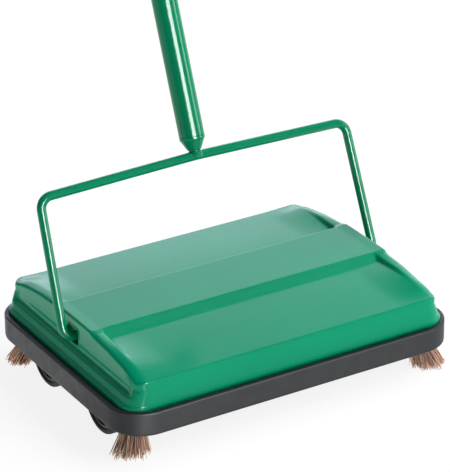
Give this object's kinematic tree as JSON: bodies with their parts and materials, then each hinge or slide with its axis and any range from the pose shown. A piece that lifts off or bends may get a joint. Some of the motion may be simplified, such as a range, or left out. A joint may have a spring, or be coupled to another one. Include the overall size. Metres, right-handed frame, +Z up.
{
  "type": "carpet sweeper",
  "caption": "Manual carpet sweeper: wheel-driven brush roller under an enamelled steel cover with a wrap-round bumper, corner edge brushes, drop-open dust pans and a long tilting bail handle.",
  "frame": {"origin": "on the floor under the middle of the body", "axes": "+X to the body's right seen from the front, +Y towards the back, the side the handle leans to, +Z up"},
  "size_m": [0.324, 0.5103, 1.0557],
  "materials": {
    "enamel_cover": "gloss",
    "bumper_vinyl": "satin",
    "frame_black": "matte",
    "bulkhead_zinc": "satin",
    "screw_zinc": "satin",
    "bush_nylon": "satin",
    "axle_steel": "satin",
    "comb_steel": "satin",
    "spring_steel": "satin",
    "corner_bristle": "matte",
    "wheel_plastic": "satin",
    "wheel_rubber": "matte",
    "roller_wood": "satin",
    "roller_bristle": "matte",
    "pulley_plastic": "satin",
    "drive_rubber": "matte",
    "pan_steel": "satin",
    "enamel_wire": "gloss",
    "enamel_tube": "gloss",
    "grip_plastic": "satin"
  },
  "bodies": {
    "chassis": {"top_cover": "enamel_cover", "bumper": "bumper_vinyl", "bumper_splice": "bumper_vinyl", "chassis_frame": "frame_black", "bulkhead_left": "bulkhead_zinc", "bulkhead_right": "bulkhead_zinc", "bulkhead_screws": "screw_zinc", "roller_bush_left": "bush_nylon", "roller_bush_right": "bush_nylon", "bail_bush_left": "bush_nylon", "bail_bush_right": "bush_nylon", "wheel_axles": "axle_steel", "axle_clips": "screw_zinc", "brush_comb_front": "comb_steel", "brush_comb_rear": "comb_steel", "pan_hinge_rod_front": "axle_steel", "pan_hinge_rod_rear": "axle_steel", "pan_spring_front": "spring_steel", "pan_spring_rear": "spring_steel", "corner_brush_front_left": "corner_bristle", "corner_brush_front_right": "corner_bristle", "corner_brush_rear_left": "corner_bristle", "corner_brush_rear_right": "corner_bristle", "corner_brush_holders": "frame_black"},
    "roller": {"roller_shaft": "axle_steel", "roller_core": "roller_wood", "bristle_rows": "roller_bristle", "drive_pulley_left": "pulley_plastic", "drive_pulley_right": "pulley_plastic", "drive_band_left": "drive_rubber", "drive_band_right": "drive_rubber"},
    "front_pan": {"dust_pan_front": "pan_steel"},
    "rear_pan": {"dust_pan_rear": "pan_steel"},
    "handle": {"bail_wire": "enamel_wire", "bail_retainer_left": "bush_nylon", "bail_retainer_right": "bush_nylon", "handle_stud": "enamel_wire", "handle_ferrule": "enamel_wire", "tube_lower": "enamel_tube", "coupler_lower": "enamel_tube", "tube_middle": "enamel_tube", "coupler_upper": "enamel_tube", "tube_upper": "enamel_tube", "hand_grip": "grip_plastic", "grip_end_cap": "grip_plastic"},
    "wheel_front_left": {"wheel_hub_front_left": "wheel_plastic", "wheel_tyre_front_left": "wheel_rubber"},
    "wheel_front_right": {"wheel_hub_front_right": "wheel_plastic", "wheel_tyre_front_right": "wheel_rubber"},
    "wheel_rear_left": {"wheel_hub_rear_left": "wheel_plastic", "wheel_tyre_rear_left": "wheel_rubber"},
    "wheel_rear_right": {"wheel_hub_rear_right": "wheel_plastic", "wheel_tyre_rear_right": "wheel_rubber"}
  },
  "joints": [
    {"name": "bail_tilt", "type": "hinge", "parent": "chassis", "child": "handle", "pos_m": [0, 0, 0.06774], "axis": [-1, 0, 0], "range_deg": [-110, 68]},
    {"name": "roller_spin", "type": "hinge", "parent": "chassis", "child": "roller", "pos_m": [0, 0, 0.032], "axis": [1, 0, 0], "continuous": true},
    {"name": "wheel_front_left_spin", "type": "hinge", "parent": "chassis", "child": "wheel_front_left", "pos_m": [-0.141, -0.0472, 0.0272], "axis": [1, 0, 0], "continuous": true},
    {"name": "wheel_front_right_spin", "type": "hinge", "parent": "chassis", "child": "wheel_front_right", "pos_m": [0.141, -0.0472, 0.0272], "axis": [1, 0, 0], "continuous": true},
    {"name": "wheel_rear_left_spin", "type": "hinge", "parent": "chassis", "child": "wheel_rear_left", "pos_m": [-0.141, 0.0472, 0.0272], "axis": [1, 0, 0], "continuous": true},
    {"name": "wheel_rear_right_spin", "type": "hinge", "parent": "chassis", "child": "wheel_rear_right", "pos_m": [0.141, 0.0472, 0.0272], "axis": [1, 0, 0], "continuous": true},
    {"name": "front_pan_swing", "type": "hinge", "parent": "chassis", "child": "front_pan", "pos_m": [0, -0.104, 0.036], "axis": [-1, 0, 0], "range_deg": [0, 36], "stiffness_Nm_per_rad": 0.3, "springref_deg": -57.3},
    {"name": "rear_pan_swing", "type": "hinge", "parent": "chassis", "child": "rear_pan", "pos_m": [0, 0.104, 0.036], "axis": [1, 0, 0], "range_deg": [0, 36], "stiffness_Nm_per_rad": 0.3, "springref_deg": -57.3}
  ],
  "couplings": [
    {"joint": "wheel_front_left_spin", "follows": "roller_spin", "ratio": -0.73529},
    {"joint": "wheel_front_right_spin", "follows": "roller_spin", "ratio": -0.73529},
    {"joint": "wheel_rear_left_spin", "follows": "roller_spin", "ratio": -0.73529},
    {"joint": "wheel_rear_right_spin", "follows": "roller_spin", "ratio": -0.73529}
  ]
}
